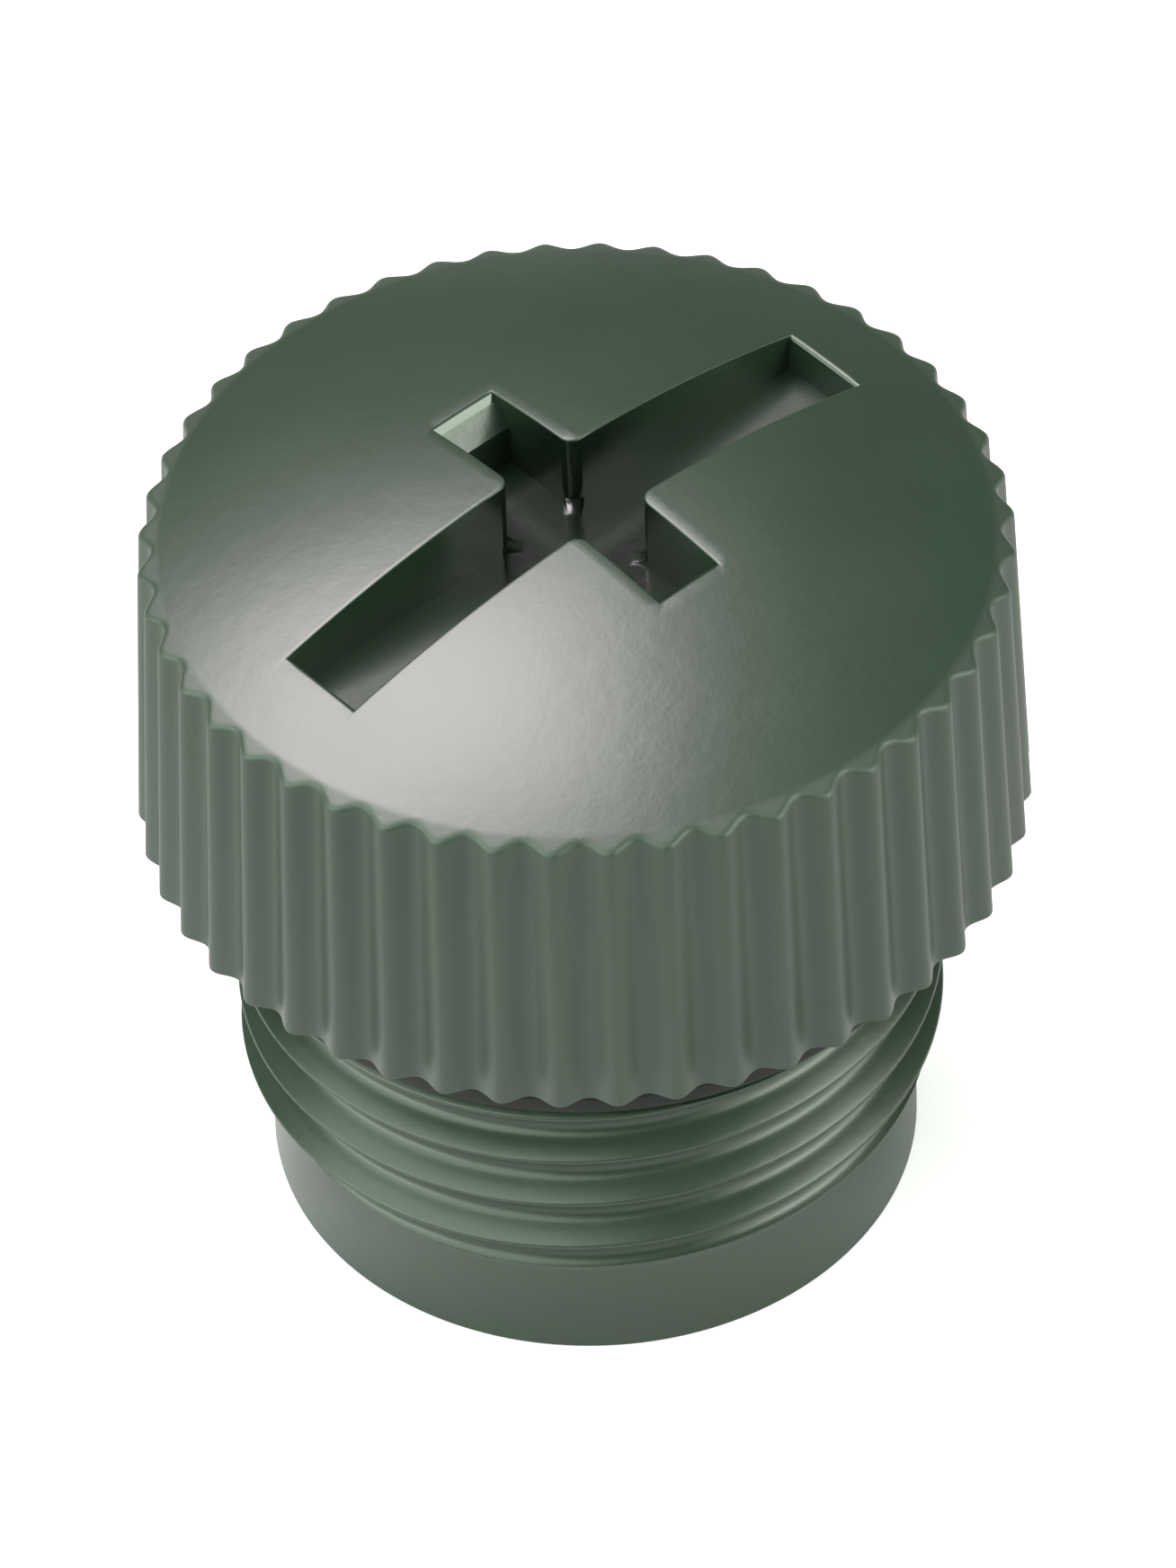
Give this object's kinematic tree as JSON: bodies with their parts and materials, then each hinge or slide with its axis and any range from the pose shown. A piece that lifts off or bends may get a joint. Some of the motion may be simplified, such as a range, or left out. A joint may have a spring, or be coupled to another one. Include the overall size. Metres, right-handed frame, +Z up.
{
  "type": "screw-in blanking plug",
  "caption": "Screw-in blanking plug: knurled domed head with crossed driver slots, threaded hollow shank and a sealing ring on its neck; it closes an unused round connector socket.",
  "frame": {"origin": "centre of the tip's flat end face, on the plug's axis, at the lowest point of the part", "axes": "+Z runs up the axis from the tip to the crown of the head, the long driver slot runs along X and the short cross slot along Y"},
  "size_m": [0.015, 0.015, 0.0149],
  "materials": {
    "body_plastic": "satin dark grey-green moulded plastic",
    "seal_rubber": "smooth black rubber"
  },
  "bodies": {
    "root": {"plug_body": "body_plastic", "o_ring": "seal_rubber"}
  },
  "joints": []
}
